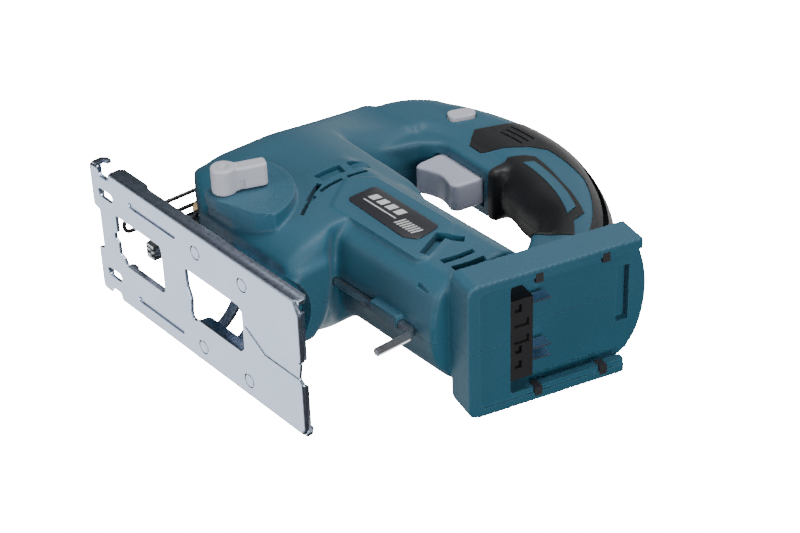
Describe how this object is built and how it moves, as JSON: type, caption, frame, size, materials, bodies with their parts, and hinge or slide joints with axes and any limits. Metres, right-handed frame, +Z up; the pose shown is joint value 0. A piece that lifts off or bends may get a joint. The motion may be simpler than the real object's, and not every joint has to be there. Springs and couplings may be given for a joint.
{
  "type": "cordless jigsaw",
  "caption": "Cordless D-handle jigsaw on a stamped steel shoe with bevel arch, wire guard, selector lever and battery foot; no battery or blade fitted.",
  "frame": {"origin": "point on the underside of the shoe, on the bridge between its two windows, on the middle line", "axes": "+X rearward to the battery foot, +Y to the tool's right, +Z up from the shoe"},
  "size_m": [0.2397, 0.0915, 0.2225],
  "materials": {
    "housing": "fine grained moulded plastic",
    "soft_grip": "ribbed soft overmould",
    "label": "printed label",
    "grey_plastic": "moulded light grey",
    "black_plastic": "moulded black",
    "zinc_steel": "zinc plated sheet",
    "bare_steel": "turned and ground",
    "black_wire": "black coated wire",
    "bronze": "sintered bronze",
    "copper_wound": "wound rotor",
    "board_green": "circuit board",
    "rubber_black": "buffer rubber",
    "wire_red": "insulated wire"
  },
  "bodies": {
    "body": {"left_housing": "housing", "right_housing": "housing", "spine_grip": "soft_grip", "left_grip": "soft_grip", "right_grip": "soft_grip", "label_plate": "label", "switch_body": "black_plastic", "upper_bush": "bronze", "lower_bush": "bronze", "gear_shaft": "bare_steel", "motor_can": "bare_steel", "front_bearing": "bare_steel", "rear_bearing": "bare_steel", "control_board": "board_green", "contact_block": "black_plastic", "contact_blades": "zinc_steel", "rail_buffers": "rubber_black", "housing_screws": "bare_steel", "grip_inlays": "housing", "lead_wires": "wire_red", "trigger_spring": "bare_steel", "clamp_bolts": "bare_steel", "clamp_bar": "bare_steel", "fork_pin": "bare_steel"},
    "trigger": {"trigger": "grey_plastic"},
    "lock": {"lock_button": "grey_plastic"},
    "selector": {"selector_knob": "grey_plastic", "selector_shaft": "bare_steel"},
    "guard": {"wire_guard": "black_wire"},
    "key": {"hex_key": "bare_steel"},
    "shoe": {"shoe_plate": "zinc_steel", "shoe_arch": "zinc_steel"},
    "plunger": {"plunger_rod": "bare_steel", "yoke": "bare_steel", "blade_clamp": "bare_steel"},
    "collar": {"clamp_collar": "black_plastic"},
    "crank": {"crank_gear": "bare_steel"},
    "pin_roller": {"crank_roller": "bronze"},
    "rotor": {"armature": "copper_wound", "pinion": "bare_steel", "fan": "black_plastic"},
    "fork": {"guide_fork": "bare_steel", "roller_pin": "bare_steel"},
    "roller": {"guide_roller": "bare_steel"}
  },
  "joints": [
    {"name": "trigger_pull", "type": "slide", "parent": "body", "child": "trigger", "axis": [0, 0, 1], "range_m": [0, 0.0045], "stiffness_N_per_m": 600, "springref_m": -0.012, "deforming": ["trigger_spring"]},
    {"name": "lock_press", "type": "slide", "parent": "body", "child": "lock", "axis": [0, 1, 0], "range_m": [0, 0.0022], "stiffness_N_per_m": 400, "springref_m": -0.006},
    {"name": "selector_turn", "type": "hinge", "parent": "body", "child": "selector", "pos_m": [0, -0.038, 0.034], "axis": [0, 1, 0], "range_deg": [0, 90]},
    {"name": "guard_swing", "type": "hinge", "parent": "body", "child": "guard", "pos_m": [-0.0565, 0, 0.0571], "axis": [0, 1, 0], "range_deg": [0, 55]},
    {"name": "key_slide", "type": "slide", "parent": "body", "child": "key", "axis": [1, 0, 0], "range_m": [0, 0.056]},
    {"name": "shoe_bevel", "type": "hinge", "parent": "body", "child": "shoe", "pos_m": [0.04, 0, 0], "axis": [1, 0, 0], "range_deg": [-35, 45]},
    {"name": "plunger_stroke", "type": "slide", "parent": "body", "child": "plunger", "axis": [0, 0, 1], "range_m": [-0.009, 0.009]},
    {"name": "collar_twist", "type": "hinge", "parent": "plunger", "child": "collar", "pos_m": [-0.042, 0, 0.03], "axis": [0, 0, 1], "range_deg": [0, 60], "stiffness_Nm_per_rad": 0.05, "springref_deg": -17.19},
    {"name": "crank_spin", "type": "hinge", "parent": "body", "child": "crank", "pos_m": [-0.024, 0, 0.07], "axis": [1, 0, 0], "continuous": true},
    {"name": "pin_roller_spin", "type": "hinge", "parent": "crank", "child": "pin_roller", "pos_m": [-0.0298, 0.009, 0.07], "axis": [1, 0, 0], "continuous": true},
    {"name": "rotor_spin", "type": "hinge", "parent": "body", "child": "rotor", "pos_m": [0.046, 0, 0.092], "axis": [1, 0, 0], "continuous": true},
    {"name": "fork_swing", "type": "hinge", "parent": "body", "child": "fork", "pos_m": [-0.0314, 0, 0.044], "axis": [0, 1, 0], "range_deg": [-3, 1.5]},
    {"name": "roller_spin", "type": "hinge", "parent": "fork", "child": "roller", "pos_m": [-0.0324, 0, 0.011], "axis": [0, 1, 0], "continuous": true}
  ],
  "couplings": [
    {"joint": "crank_spin", "follows": "rotor_spin", "ratio": -0.22222}
  ]
}
